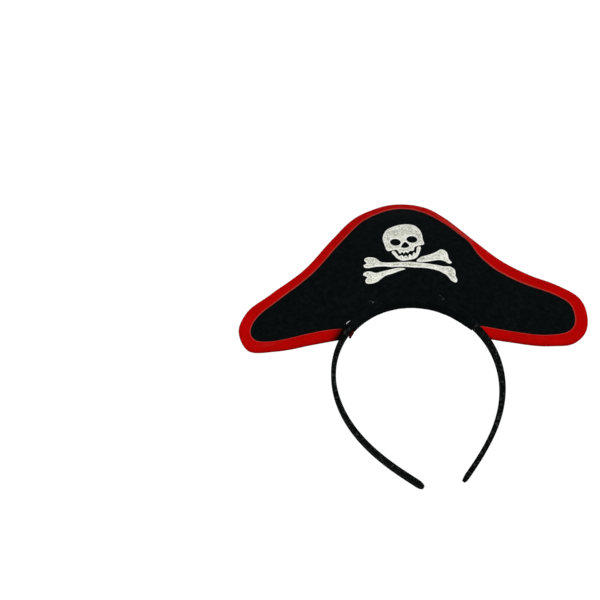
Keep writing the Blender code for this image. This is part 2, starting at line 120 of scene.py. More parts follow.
HOOP_TABLE = hoop_table()


def hoop_place(along, y, out):
    """Points at an arc length (negative on the left), `y` back and `out` from the centre line."""
    along, y, out = np.broadcast_arrays(*(np.asarray(a, float) for a in (along, y, out)))
    side = np.where(along < 0, -1, 1)
    x, z, bend = (np.interp(np.abs(along), HOOP_TABLE[0], column) for column in HOOP_TABLE[1:])
    beyond = np.clip(np.abs(along) - HOOP_HALF_LENGTH, 0, None)
    x = x + beyond * np.cos(bend) + out * np.sin(bend)
    z = z - beyond * np.sin(bend) + out * np.cos(bend)
    return np.stack([side * x, y, z], -1)


def hoop_nearest(x, z):
    """Arc length of the hoop's nearest point to each (x, z), and the distance to it."""
    gaps = np.hypot(HOOP_TABLE[1] - np.abs(x)[:, None], HOOP_TABLE[2] - z[:, None])
    nearest = gaps.argmin(1)
    return np.copysign(HOOP_TABLE[0][nearest], x), gaps.min(1)


def hat_back(u, v):
    """How far back the middle of the hat stands at the flat point (u, v)."""
    reach = np.clip(np.abs(u) - HAT_FLAT_HALF, 0, None) / HAT_BOW_SPAN
    return HAT_CURL * v * v + (HAT_BOW + HAT_FLANK * v) * np.sin(math.pi / 2 * reach) ** 2


def hat_slopes(u, v):
    across = (hat_back(u + FINE, v) - hat_back(u - FINE, v)) / (2 * FINE)
    up = (hat_back(u, v + FINE) - hat_back(u, v - FINE)) / (2 * FINE)
    return across, up


def from_flat(u, v):
    """World (x, z) of flat points, with the hat turned round the hoop."""
    up = v + HAT_PIVOT_DROP
    x = math.cos(HAT_TURN) * u + math.sin(HAT_TURN) * up
    z = math.cos(HAT_TURN) * up - math.sin(HAT_TURN) * u
    return x, z - HAT_PIVOT_DROP + HOOP_CENTRE_Z


def to_flat(x, z):
    up = z + HAT_PIVOT_DROP - HOOP_CENTRE_Z
    u = math.cos(HAT_TURN) * x - math.sin(HAT_TURN) * up
    v = math.cos(HAT_TURN) * up + math.sin(HAT_TURN) * x
    return u, v - HAT_PIVOT_DROP


def hat_place(u, v, depth):
    """World points at (u, v), `depth` behind the hat's middle surface."""
    across, up = hat_slopes(u, v)
    scale = depth / np.sqrt(1 + across**2 + up**2)
    x, z = from_flat(u - across * scale, v - up * scale)
    return np.stack([x, hat_back(u, v) + scale, z], -1)


def hat_find(points):
    """(u, v, depth) of world points near the hat: hat_place the other way round."""
    flat_u, flat_v = to_flat(points[:, 0], points[:, 2])
    u, v = flat_u, flat_v
    for _ in range(FIND_ROUNDS):
        across, up = hat_slopes(u, v)
        scale = points[:, 1] - hat_back(u, v)
        u, v = flat_u + across * scale, flat_v + up * scale
    return u, v, scale * np.sqrt(1 + across**2 + up**2)


# Lines in the plane

def divide(line, step=None, count=None):
    """The line again, with its points spaced evenly."""
    lengths = np.r_[0, np.cumsum(np.linalg.norm(np.diff(line, axis=0), axis=1))]
    count = count or max(2, round(lengths[-1] / step))
    places = np.linspace(0, lengths[-1], count + 1)
    return np.column_stack([np.interp(places, lengths, column) for column in line.T])


def smooth(line, step, closed=False):
    """A smooth curve through the line's points, in even steps."""
    if closed:
        padded = np.vstack([line[-1:], line, line[:2]])
    else:
        padded = np.vstack([2 * line[0] - line[1], line, 2 * line[-1] - line[-2]])
    before, here, after, later = (padded[i:len(padded) - 3 + i] for i in range(4))
    curve = []
    for share in np.linspace(0, 1, CURVE_PARTS + 1)[:-1]:
        curve.append(0.5 * (
            2 * here + (after - before) * share
            + (2 * before - 5 * here + 4 * after - later) * share**2
            + (3 * here - before - 3 * after + later) * share**3
        ))
    curve = np.vstack([np.stack(curve, 1).reshape(-1, 2), padded[-2:-1]])
    return divide(curve, step)[:-1] if closed else divide(curve, step)


def round_off(line):
    """The open line with its corners cut off three times, into curves. Works on many at once."""
    for _ in range(3):
        low, high = line[..., :-1, :], line[..., 1:, :]
        pairs = np.stack([0.75 * low + 0.25 * high, 0.25 * low + 0.75 * high], -2)
        pairs = pairs.reshape(*line.shape[:-2], -1, line.shape[-1])
        line = np.concatenate([line[..., :1, :], pairs[..., 1:-1, :], line[..., -1:, :]], -2)
    return line


def even_out(values, reach):
    """The mean of each value and of its neighbours up to `reach` places away."""
    window = 2 * reach + 1
    return np.convolve(np.pad(values, reach, mode="edge"), np.ones(window) / window, mode="valid")


def left_normals(line, closed=False):
    run = np.roll(line, -1, 0) - np.roll(line, 1, 0) if closed else np.gradient(line, axis=0)
    run = run / np.linalg.norm(run, axis=1)[:, None]
    return np.column_stack([-run[:, 1], run[:, 0]])


def inside(points, loops):
    """Whether each point is inside an odd number of the loops."""
    odd = np.zeros(len(points), bool)
    for loop in loops:
        for (x0, y0), (x1, y1) in zip(loop, np.roll(loop, -1, 0)):
            crosses = (points[:, 1] < y0) != (points[:, 1] < y1)
            at = x0 + (points[:, 1] - y0) * (x1 - x0) / ((y1 - y0) or WELD)
            odd ^= crosses & (points[:, 0] < at)
    return odd


def edge_distance(points, loops):
    """Distance from each point to the nearest of the loops."""
    nearest = np.full(len(points), np.inf)
    for loop in loops:
        for start, end in zip(loop, np.roll(loop, -1, 0)):
            span = end - start
            share = np.clip((points - start) @ span / (span @ span), 0, 1)
            gap = np.linalg.norm(points - start - share[:, None] * span, axis=1)
            nearest = np.minimum(nearest, gap)
    return nearest


def outlines(node):
    """The flat outlines of a CAD sheet's front face, the longest first."""
    mesh = bmesh.new()
    mesh.from_mesh(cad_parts[node].data)
    bmesh.ops.remove_doubles(mesh, verts=mesh.verts, dist=WELD)
    mesh.verts.index_update()
    u, v, depth = hat_find(np.array([corner.co for corner in mesh.verts]))
    front = depth < (depth.min() + depth.max()) / 2
    beside = {}
    for edge in mesh.edges:
        a, b = (corner.index for corner in edge.verts)
        if front[a] and front[b] and edge.calc_face_angle(0) > SHARP_EDGE:
            beside.setdefault(a, []).append(b)
            beside.setdefault(b, []).append(a)
    mesh.free()
    loops = []
    while beside:
        walk = [next(iter(beside))]
        while beside.get(walk[-1]):
            following = beside.pop(walk[-1])
            ahead = [i for i in following if i in beside and i not in walk[1:]]
            if not ahead or ahead[0] == walk[0]:
                break
            walk.append(ahead[0])
        loops.append(np.column_stack([u[walk], v[walk]]))
    return sorted(loops, key=len, reverse=True)


# Meshes

def add(name, data):
    made = bpy.data.objects.new(name, data)
    bpy.context.scene.collection.objects.link(made)
    return made


def add_mesh(name, points, faces):
    data = bpy.data.meshes.new(name)
    data.from_pydata([tuple(p) for p in points], [], [tuple(map(int, face)) for face in faces])
    return add(name, data)


def make(name, points, faces, slot, replaced, attributes=None):
    """A piece of the object in place of CAD nodes: a mesh with its material, on the one body."""
    piece = add_mesh(name, points, faces)
    data = piece.data
    for key, values in (attributes or {}).items():
        kind = "FLOAT_VECTOR" if np.ndim(values) == 2 else "FLOAT"
        field = "vector" if np.ndim(values) == 2 else "value"
        layer = data.attributes.new(key, kind, "POINT")
        layer.data.foreach_set(field, np.asarray(values, np.float32).ravel())
    mesh = bmesh.new()
    mesh.from_mesh(data)
    bmesh.ops.recalc_face_normals(mesh, faces=mesh.faces)
    if mesh.calc_volume(signed=True) < 0:
        bmesh.ops.reverse_faces(mesh, faces=mesh.faces)
    mesh.to_mesh(data)
    mesh.free()
    data.shade_smooth()
    data.set_sharp_from_angle(angle=SHADING_ANGLE)
    data.materials.append(MATERIALS[slot])
    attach(piece, "root")
    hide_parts(*replaced)
    return piece


def fill(loops, cell, insets=()):
    """Points that fill the outlines, their distance to the edge, and triangles between them."""
    points, edges = list(loops), []
    for loop in loops:
        start = len(edges)
        edges += [(start + i, start + (i + 1) % len(loop)) for i in range(len(loop))]
    for inset in insets:
        for place, loop in enumerate(loops):
            turn = math.copysign(1, signed_area(loop)) * (1 if place == 0 else -1)
            ring = loop + turn * inset * left_normals(loop, closed=True)
            kept = inside(ring, loops) & (edge_distance(ring, loops) > 0.93 * inset)
            points.append(ring[kept])
    low, high = loops[0].min(0), loops[0].max(0)
    rows = np.arange(low[1], high[1], cell * math.sqrt(3) / 2)
    columns = np.arange(low[0], high[0], cell)
    grid = np.vstack([
        np.column_stack([columns + cell / 2 * (i % 2), np.full(len(columns), row)])
        for i, row in enumerate(rows)
    ])
    margin = (insets[-1] if insets else 0) + 0.6 * cell
    points.append(grid[inside(grid, loops) & (edge_distance(grid, loops) > margin)])
    corners = [Vector(p) for p in np.vstack(points)]
    corners, _, faces, *_ = geometry.delaunay_2d_cdt(corners, edges, [], 0, WELD / 100)
    corners = np.array(corners)
    faces = np.array([face for face in faces if len(face) == 3])
    faces = faces[inside(corners[faces].mean(1), loops)]
    return corners, edge_distance(corners, loops), faces


def signed_area(loop):
    following = np.roll(loop, -1, 0)
    return (loop[:, 0] * following[:, 1] - loop[:, 1] * following[:, 0]).sum() / 2


def slab(filled, front, back):
    """Points and faces of a closed sheet between two depths, given at each of the fill's points."""
    corners, _, faces = filled
    count = len(corners)
    points = np.vstack([hat_place(*corners.T, front), hat_place(*corners.T, back)])
    sides = np.vstack([faces[:, [0, 1]], faces[:, [1, 2]], faces[:, [2, 0]]])
    known = {tuple(side) for side in sides.tolist()}
    rim = [side for side in sides.tolist() if (side[1], side[0]) not in known]
    closed = [tuple(face) for face in faces] + [tuple(face[::-1] + count) for face in faces]
    return points, closed + [(b, a, a + count, b + count) for a, b in rim]


def channel(outer, inner, closed=False):
    """Points and faces of a thin wall between two grids of points, indexed [station, around]."""
    rows, count = outer.shape[:2]
    points = np.vstack([outer.reshape(-1, 3), inner.reshape(-1, 3)])
    grid = np.arange(rows * count).reshape(rows, count)
    pairs = [(i, (i + 1) % count) for i in range(count if closed else count - 1)]
    faces = []
    for i, j in pairs:
        for a, b in zip(grid, grid[1:]):
            faces.append((a[i], a[j], b[j], b[i]))
            faces.append((a[i] + grid.size, b[i] + grid.size, b[j] + grid.size, a[j] + grid.size))
        for end in (grid[0], grid[-1]):
            faces.append((end[i], end[j], end[j] + grid.size, end[i] + grid.size))
    if not closed:
        for side in (0, -1):
            for a, b in zip(grid[:, side], grid[1:, side]):
                faces.append((a, b, b + grid.size, a + grid.size))
    return points, faces


def closed_tube(rings):
    """Points and faces of a tube through rings of points, indexed [ring, around], closed by ends."""
    rows, count = rings.shape[:2]
    grid = np.arange(rows * count).reshape(rows, count)
    faces = [
        (a[i], a[(i + 1) % count], b[(i + 1) % count], b[i])
        for a, b in zip(grid, grid[1:]) for i in range(count)
    ]
    return rings.reshape(-1, 3), faces + [tuple(grid[0][::-1]), tuple(grid[-1])]


def tube(line, radii, sides=6):
    """Points and faces of a thin closed tube along world points."""
    run = np.gradient(line, axis=0)
    run /= np.linalg.norm(run, axis=1)[:, None]
    first = np.cross(run, (0.3, 0.9, 0.2))
    first /= np.linalg.norm(first, axis=1)[:, None]
    second = np.cross(run, first)
    points = []
    for i in range(sides):
        a = math.tau * i / sides
        points.append(line + radii[:, None] * (math.cos(a) * first + math.sin(a) * second))
    return closed_tube(np.stack(points, 1))


def join(parts):
    """Several lots of points and faces as one."""
    points, faces = [], []
    for more, sides in parts:
        start = sum(map(len, points))
        faces += [tuple(int(i) + start for i in side) for side in sides]
        points.append(more)
    return np.vstack(points), faces


def ripple(points, size, seed):
    """Smooth noise from about -1 to 1 at each point, with features about `size` across."""
    shift = Vector((seed, 1.7 * seed, -0.6 * seed))
    in_space = np.zeros((*points.shape[:-1], 3))
    in_space[..., :points.shape[-1]] = points
    values = [noise.noise(Vector(p) / size + shift) for p in in_space.reshape(-1, 3)]
    return np.reshape(values, points.shape[:-1])


# Materials

RIBBON_THREAD = 0.62 * MM
SATIN_THREAD = 0.3 * MM
SATIN_RED = (0.46, 0.0012, 0.0007)
EMBLEM_CREAM = (0.93, 0.94, 0.88)
# Whitish cloudy glue, which on the first dab also stands in for a painted glint.
CLOUDY_GLUE_AND_GLINT = ((0.42, 0.43, 0.42), (0.86, 0.87, 0.85))
CLEAR_GLUE = ((0.006, 0.008, 0.008), (0.014, 0.017, 0.017))


def blank(name, **values):
    """A new material, its node tree and its shader, with the shader's sockets set."""
    made = bpy.data.materials.new(name)
    made.use_nodes = True
    shader = made.node_tree.nodes["Principled BSDF"]
    for socket, value in values.items():
        shader.inputs[socket.replace("_", " ")].default_value = value
    return made, made.node_tree, shader


def node(tree, kind, inputs=None, **settings):
    """A node with its settings and inputs: an input is a value, or another node's output."""
    made = tree.nodes.new(kind)
    for key, value in settings.items():
        setattr(made, key, value)
    for key, value in (inputs or {}).items():
        if isinstance(value, bpy.types.NodeSocket):
            tree.links.new(value, made.inputs[key])
        else:
            made.inputs[key].default_value = value
    return made


def ramp(tree, factor, stops):
    made = node(tree, "ShaderNodeValToRGB", {"Fac": factor})
    stop_list = made.color_ramp.elements
    while len(stop_list) < len(stops):
        stop_list.new(0.5)
    for stop, (place, colour) in zip(stop_list, stops):
        stop.position = place
        stop.color = (*colour, 1)
    return made.outputs["Color"]


def spots(tree, coordinates, scale, detail=3.0, roughness=0.6, distortion=0.0):
    made = node(tree, "ShaderNodeTexNoise", {
        "Vector": coordinates, "Scale": scale, "Detail": detail, "Roughness": roughness,
        "Distortion": distortion,
    })
    return made.outputs["Fac"]


def bands(tree, run, pitch, direction, distortion, detail):
    """Threads side by side, `pitch` apart."""
    made = node(tree, "ShaderNodeTexWave", {
        "Vector": run, "Scale": math.tau / 20 / pitch, "Distortion": distortion, "Detail": detail,
    }, bands_direction=direction)
    return made.outputs["Fac"]


def maths(tree, operation, *values):
    return node(tree, "ShaderNodeMath", dict(enumerate(values)), operation=operation).outputs[0]


def mix(tree, factor, first, second):
    made = node(tree, "ShaderNodeMix", data_type="RGBA")
    for index, value in ((0, factor), (6, first), (7, second)):
        if isinstance(value, bpy.types.NodeSocket):
            tree.links.new(value, made.inputs[index])
        else:
            made.inputs[index].default_value = value if index == 0 else (*value, 1)
    return made.outputs[2]


def dress(tree, shader, colour, height, distance, strength=1.0):
    """The shader's colour, and the relief that `height` gives it."""
    tree.links.new(colour, shader.inputs["Base Color"])
    made = node(tree, "ShaderNodeBump", {
        "Height": height, "Distance": distance, "Strength": strength,
    })
    tree.links.new(made.outputs["Normal"], shader.inputs["Normal"])


def place(tree):
    return node(tree, "ShaderNodeTexCoord").outputs["Object"]


def attribute(tree, name, output="Fac"):
    return node(tree, "ShaderNodeAttribute", attribute_name=name).outputs[output]


def felt_material():
    """Black needled felt: short matted fibres, faintly blue-grey where they catch light."""
    made, tree, shader = blank(
        "felt", Roughness=0.95, Specular_IOR_Level=0.02, Sheen_Weight=0.008, Sheen_Roughness=0.4,
        Sheen_Tint=(0.6, 0.85, 0.8, 1),
    )
    where = place(tree)
    fibres = spots(tree, where, 1500, detail=4, distortion=1.4)
    clumps = spots(tree, where, 260, detail=3)
    drift = spots(tree, where, 22, detail=2)
    mixed = maths(tree, "MULTIPLY_ADD", clumps, 0.6, fibres)
    colour = ramp(tree, maths(tree, "MULTIPLY", mixed, 0.62), [
        (0.34, (0.0009, 0.0017, 0.0018)), (0.52, (0.0026, 0.0043, 0.0046)),
        (0.70, (0.0095, 0.0130, 0.0135)),
    ])
    colour = mix(tree, maths(tree, "MULTIPLY", drift, 0.5), colour, (0.0020, 0.0024, 0.0022))
    dress(tree, shader, colour, mixed, 0.16 * MM, 0.8)
    return made


def ribbon_material():
    """Black ribbon with a plain weave: raised threads both ways, with a dull gleam."""
    made, tree, shader = blank("ribbon", Roughness=0.6, Specular_IOR_Level=0.015)
    run = attribute(tree, "run", "Vector")
    weave = maths(tree, "MULTIPLY", *(
        bands(tree, run, RIBBON_THREAD, axis, distortion=0.9, detail=1.5) for axis in ("X", "Y")
    ))
    worn = spots(tree, place(tree), 190, detail=3)
    colour = ramp(tree, maths(tree, "MULTIPLY", weave, maths(tree, "ADD", worn, 0.35)), [
        (0.05, (0.0007, 0.0009, 0.0009)), (0.35, (0.0022, 0.0027, 0.0027)),
        (0.8, (0.014, 0.016, 0.016)),
    ])
    glints = spots(tree, place(tree), 520, detail=2, roughness=0.5)
    glints = ramp(tree, glints, [(0.56, (0, 0, 0)), (0.68, (1, 1, 1))])
    colour = mix(tree, glints, colour, (0.034, 0.037, 0.037))
    dress(tree, shader, colour, weave, 0.12 * MM, 0.9)
    return made


def satin_material():
    """Red satin cut on the bias: slanting threads, a painted highlight on the rolled edge, darker
    towards its left end.
    """
    made, tree, shader = blank("red_satin", Roughness=0.55, Specular_IOR_Level=0.006)
    run = attribute(tree, "run", "Vector")
    turned = node(tree, "ShaderNodeMapping", {
        "Vector": run, "Rotation": (0, 0, math.radians(45)),
    }).outputs["Vector"]
    threads = bands(tree, turned, SATIN_THREAD, "X", distortion=1.2, detail=2.0)
    cloud = spots(tree, place(tree), 60, detail=3)
    base = ramp(tree, cloud, [
        (0.25, (0.39, 0.0010, 0.0006)), (0.55, SATIN_RED),
        (0.8, (0.51, 0.0020, 0.0012)),
    ])
    base = mix(tree, maths(tree, "MULTIPLY", threads, 0.16), base, (0.30, 0.0008, 0.0006))
    # Painted highlight: paler red along the rolled lip and down narrow stretches of the tape, where
    # light catches it.
    base = mix(tree, attribute(tree, "lip"), base, (0.44, 0.062, 0.05))
    # Darker towards the tape's left end, and on its tail.
    base = mix(tree, attribute(tree, "stain"), base, (0.004, 0.0012, 0.0012))
    grain = spots(tree, place(tree), 900, detail=2)
    height = maths(tree, "MULTIPLY_ADD", grain, 0.4, threads)
    dress(tree, shader, base, height, 0.05 * MM, 0.7)
    return made


def emblem_material():
    """Cream bonded cloth: finely mottled grey inside a clean, brighter pressed edge."""
    made, tree, shader = blank("emblem", Roughness=0.75, Specular_IOR_Level=0.2, Sheen_Weight=0.05)
    where = place(tree)
    speckle = spots(tree, where, 760, detail=3, roughness=0.7, distortion=0.6)
    patches = spots(tree, where, 120, detail=3)
    mixed = maths(tree, "MULTIPLY_ADD", patches, 0.35, speckle)
    inner = ramp(tree, maths(tree, "MULTIPLY", mixed, 0.74), [
        (0.39, (0.28, 0.28, 0.22)), (0.48, (0.60, 0.61, 0.52)), (0.57, (0.92, 0.93, 0.85)),
    ])
    colour = mix(tree, attribute(tree, "rim"), inner, EMBLEM_CREAM)
    dress(tree, shader, colour, speckle, 0.14 * MM, 0.8)
    return made


def glue_material(name, thin, thick):
    """Set hot glue: cloudy, half clear and shiny."""
    made, tree, shader = blank(
        name, Roughness=0.3, Specular_IOR_Level=0.35, Transmission_Weight=0.15, IOR=1.45,
    )
    cloud = spots(tree, place(tree), 420, detail=3)
    colour = ramp(tree, cloud, [(0.35, thin), (0.7, thick)])
    colour = mix(tree, attribute(tree, "clear"), colour, (0.012, 0.015, 0.015))
    dress(tree, shader, colour, cloud, 0.1 * MM, 0.5)
    return made


def foam_material():
    made, tree, shader = blank("foam", Roughness=0.95, Specular_IOR_Level=0.15)
    cells = node(tree, "ShaderNodeTexVoronoi", {"Vector": place(tree), "Scale": 1600})
    cells = cells.outputs["Distance"]
    colour = ramp(tree, cells, [(0.1, (0.008, 0.008, 0.008)), (0.6, (0.045, 0.045, 0.045))])
    dress(tree, shader, colour, cells, 0.2 * MM)
    return made


def plastic_material():
    made, tree, shader = blank("plastic", Roughness=0.4, Specular_IOR_Level=0.45)
    flow = spots(tree, place(tree), 90, detail=2)
    colour = ramp(tree, flow, [(0.3, (0.016, 0.016, 0.017)), (0.7, (0.028, 0.028, 0.03))])
    dress(tree, shader, colour, flow, 0.03 * MM, 0.5)
    return made


MATERIALS = {
    "felt": felt_material(),
    "ribbon": ribbon_material(),
    "red_satin": satin_material(),
    "emblem": emblem_material(),
    "glue": glue_material("glue", *CLOUDY_GLUE_AND_GLINT),
    "clear_glue": glue_material("clear_glue", *CLEAR_GLUE),
    "foam": foam_material(),
    "plastic": plastic_material(),
}


# Hoop

RIBBON_STEP = 1.5 * MM
RIBBON_CORNER = 1.15 * MM
RIBBON_AROUND = 48
RIBBON_GIRTH = 2 * (HOOP_WIDTH + HOOP_THICKNESS)
RIBBON_SLACK = 0.07 * MM
RIBBON_LAP = 0.18 * MM  # where its two long edges overlap, the ribbon stands up by this
TIP_RINGS = 14


def ribbon_section():
    """(y, out) round the covered hoop, from the middle of its inner face, and the normals."""
    wide, thick = HOOP_WIDTH / 2 - RIBBON_CORNER, HOOP_THICKNESS / 2 - RIBBON_CORNER
    line = []
    for y, out, start in (
        (wide, -thick, -90), (wide, thick, 0), (-wide, thick, 90), (-wide, -thick, 180),
    ):
        for degrees in np.linspace(start, start + 90, 9):
            a = math.radians(degrees)
            line.append((y + RIBBON_CORNER * math.cos(a), out + RIBBON_CORNER * math.sin(a)))
    line = np.vstack([(0, line[0][1]), line, (0, line[0][1])])
    line = divide(line, count=RIBBON_AROUND)[:-1]
    return line, -left_normals(line, closed=True)


def ribbon_sleeve(tips):
    """The ribbon, closed lengthwise with an overlap down the hoop's inner face."""
    line, normals = ribbon_section()
    along = np.linspace(
        -HOOP_HALF_LENGTH, HOOP_HALF_LENGTH, round(2 * HOOP_HALF_LENGTH / RIBBON_STEP)
    )[:, None]
    share = np.arange(RIBBON_AROUND) / RIBBON_AROUND
    overlap = RIBBON_LAP * (share < 0.075) + 0.05 * MM * (share > 0.95)
    slack = np.sin(along / (19 * MM)) * np.sin(math.tau * share + along / (60 * MM))
    relief = overlap + RIBBON_SLACK * slack
    grids = []
    for lift in (relief, relief * 0 - RIBBON_WALL):
        y = line[:, 0] + lift * normals[:, 0]
        out = line[:, 1] + lift * normals[:, 1]
        grids.append(hoop_place(along, y, out))
    around = share * RIBBON_GIRTH
    run = np.stack(np.broadcast_arrays(along, around, 0), -1).reshape(-1, 3)
    points, faces = channel(*grids, closed=True)
    piece = make(
        "ribbon_sleeve_cloth", points, faces, "ribbon", ["ribbon_sleeve"],
        {"run": np.vstack([run, run])},
    )


def ribbon_tip(side):
    """The ribbon's rounded tongue, pressed flat beyond the end of the strip."""
    line, _ = ribbon_section()
    rings, runs = [], []
    for angle in np.radians(np.linspace(0, 88, TIP_RINGS)):
        share, narrow = math.sin(angle), math.cos(angle)
        thin = (1 - 0.45 * share**2) * min(1, 0.35 + narrow * 2)
        along = side * (HOOP_HALF_LENGTH + share * TIP_LENGTH)
        rings.append(hoop_place(along, line[:, 0] * narrow, line[:, 1] * thin))
        around = np.arange(len(line)) / len(line) * RIBBON_GIRTH
        runs.append(np.stack(np.broadcast_arrays(along, around, 0), -1))
    points, faces = closed_tube(np.array(rings))
    name = "ribbon_tip_left" if side < 0 else "ribbon_tip_right"
    return make(name + "_cloth", points, faces, "ribbon", [name], {"run": np.vstack(runs)})


# Felt and foam

FELT_CELL = 1.5 * MM
PUFF_CELL = 4.5 * MM
PUFF_MOST = 0.8 * MM
PUFF_FADE = 6 * MM
PUFF_FRAMES = 20
PIN_BORDER = 10 * MM
PIN_FADE = 3 * MM
PUFF_REACH = 6 * MM
FELT_PRESSED = 0.2 * MM
HALO = 1.3 * MM  # the felt is pressed down this far round the emblem
EMBLEM = ["skull", "jaw", "front_bone", "rear_bone_upper", "rear_bone_lower"]


def simulate_puff(outline):
    """How far the foam pushes each felt out between the tape and the strip: a cloth simulation.

    Returns flat points, and for the front and the back how far out each has moved."""
    filled = fill([outline], PUFF_CELL)
    corners, edge, _ = filled
    half = np.full(len(corners), STACK_HALF)
    puff = add_mesh("puff", *slab(filled, -half, half))
    pins = puff.vertex_groups.new(name="pins")
    for i, distance in enumerate(np.tile(edge, 2)):
        hold = np.clip((PIN_BORDER + PIN_FADE - distance) / PIN_FADE, 0, 1)
        pins.add([i], float(hold), "REPLACE")
    cloth = puff.modifiers.new("Cloth", "CLOTH")
    settings = cloth.settings
    settings.quality = 6
    settings.mass = 0.2
    settings.tension_stiffness = settings.compression_stiffness = 12
    settings.bending_stiffness = 0.6
    settings.vertex_group_mass = "pins"
    settings.use_pressure = True
    settings.uniform_pressure_force = 4
    settings.shrink_min = -0.012
    settings.effector_weights.gravity = 0
    scene = bpy.context.scene
    cloth.point_cache.frame_start, cloth.point_cache.frame_end = 1, PUFF_FRAMES
    for number in range(1, PUFF_FRAMES + 1):
        scene.frame_set(number)
    graph = bpy.context.evaluated_depsgraph_get()
    moved = np.array([v.co for v in puff.evaluated_get(graph).data.vertices])
    scene.frame_set(1)
    bpy.data.objects.remove(puff)
    _, _, depth = hat_find(moved)
    count = len(corners)
    front, back = -STACK_HALF - depth[:count], depth[count:] - STACK_HALF
    free = np.clip((edge - PIN_BORDER) / PUFF_FADE, 0, 1)
    return corners, [np.clip(side, 0, PUFF_MOST) * free for side in (front, back)]


def puff_field(outline):
    """Two functions of flat points: how far the front and the back felt swell there."""
    corners, sides = simulate_puff(outline)
    tree = kdtree.KDTree(len(corners))
    for i, corner in enumerate(corners):
        tree.insert((*corner, 0), i)
    tree.balance()

    def swell(where, side):
        values = np.zeros(len(where))
        for i, spot in enumerate(where):
            near = tree.find_range((*spot, 0), PUFF_REACH)
            weights = [(1 - gap / PUFF_REACH) ** 2 for _, _, gap in near]
            if near:
                total = sum(w * side[j] for w, (_, j, _) in zip(weights, near))
                values[i] = total / max(sum(weights), 1e-9)
        return values

    return [lambda where, side=side: swell(where, side) for side in sides]


def felts(outline, swells, emblem_loops):
    """The two felts, swollen a little, matted, and the front one pressed in round the emblem."""
    filled = fill([outline], FELT_CELL)
    corners, edge, _ = filled
    inner = FOAM / 2 + GAP / 3
    for name, sign, swell in (("front_felt", -1, swells[0]), ("back_felt", 1, swells[1])):
        rough = 0.05 * ripple(corners, 2.6 * MM, 3 + sign) + 0.07 * ripple(corners, 11 * MM, sign)
        stand = swell(corners) + rough * MM * np.clip(edge / (4 * MM), 0, 1)
        if sign < 0:
            press = np.clip(1 - edge_distance(corners, emblem_loops) / HALO, 0, 1)
            stand = stand - FELT_PRESSED * press
        outer = sign * (STACK_HALF + stand)
        hidden = np.full(len(corners), sign * inner)
        depths = (outer, hidden) if sign < 0 else (hidden, outer)
        piece = make(name + "_cloth", *slab(filled, *depths), "felt", [name])


def foam_sheet(outline):
    """The stiffening sheet between the felts, with its edge rounded over."""
    shoulder = 0.5 * MM
    filled = fill([outline], 5 * MM, insets=(0.15 * MM, 0.5 * MM))
    _, edge, _ = filled
    drop = 1 - np.sqrt(1 - (1 - np.clip(edge / shoulder, 0, 1)) ** 2)
    half = FOAM / 2 - shoulder * drop
    piece = make("foam_sheet", *slab(filled, -half, half), "foam", ["foam_core"])


# Tape

TAPE_STEP = 1.5 * MM
TAPE_HALF = STACK_HALF + 0.75 * MM
TAPE_FOLD = 1.9 * MM
TAPE_LIP = 0.45 * MM
TAPE_LIP_STAND = 0.14 * MM
TAPE_SWELL = 0.16 * MM
TAPE_WALL = 0.32 * MM
TAPE_END = 12 * MM
TAPE_CLEAR = 0.3 * MM
EASE_REACH = 5  # stations to each side over which the tape's inner corners are eased
EASE_ENDS = 8  # stations over which that fades out at its ends
PUCKER_STEP = 3.6 * MM
PUCKER_BEND = 45  # radians a metre at which the tape puckers fully
# The painted highlight along the rolled lip: its band and its fade.
LIP_HIGHLIGHT_BAND = 0.75 * MM
LIP_HIGHLIGHT_FADE = 0.4 * MM
STREAK_PLACE = 0.62  # the share of the tape's width where a narrow stretch catches the light
STREAK_WIDTH = 0.16
# Over this length the tape darkens towards its left end.
END_DARKENING = 9 * MM
TAPE_REACH = [  # flat points in mm near the edge, and the share of its width the tape reaches in there
    (-52, -31, 0.68), (-64, -32, 0.84), (-78, -34, 0.92), (-95, -36, 0.88), (-107, -37, 0.80),
    (-118, -38, 0.73), (-128, -37, 0.8), (-135, -22, 0.88), (-130, -6, 1), (20, 120, 1),
    (39, 98, 0.67), (48, 84, 0.5), (58, 66, 0.48), (66, 54, 1.2), (79, 40, 1.5), (98, 27, 1.4),
    (120, 14, 1.12), (134, 0, 1), (133, -28, 0.95), (107, -38, 0.78), (78, -36, 0.8),
    (52, -32, 0.87),
]


def felt_edge(outline):
    """The part of the felt's outline under the tape, from left to right, run on straight."""
    _, gap = hoop_nearest(*from_flat(*outline.T))
    free = gap > HOOP_THICKNESS / 2 + ARCH_GAP + TAPE_CLEAR
    first = next(i for i in range(len(free)) if free[i] and not free[i - 1])
    turned = np.roll(outline, -first, axis=0)
    line = turned[:int(free.sum())]
    if line[0, 0] > line[-1, 0]:
        line = line[::-1]
    line = smooth(line, FINE)
    starts, ends = line[0] - line[4], line[-1] - line[-5]
    before = line[0] + TAPE_END * starts / np.linalg.norm(starts)
    after = line[-1] + TAPE_END * ends / np.linalg.norm(ends)
    return divide(np.vstack([before, line, after]), FINE)


def tape_path(edge, inset):
    """The felt's edge moved to this far in from the tape's outer edge, cut off at the hoop."""
    path = edge + (FELT_INSET - inset) * left_normals(edge)
    _, gap = hoop_nearest(*from_flat(*path.T))
    blocked = np.flatnonzero(gap <= HOOP_THICKNESS / 2 + ARCH_GAP)
    middle = len(path) // 2
    first = max(blocked[blocked < middle], default=-1) + 1
    last = min(blocked[blocked > middle], default=len(path))
    return path[first:last]


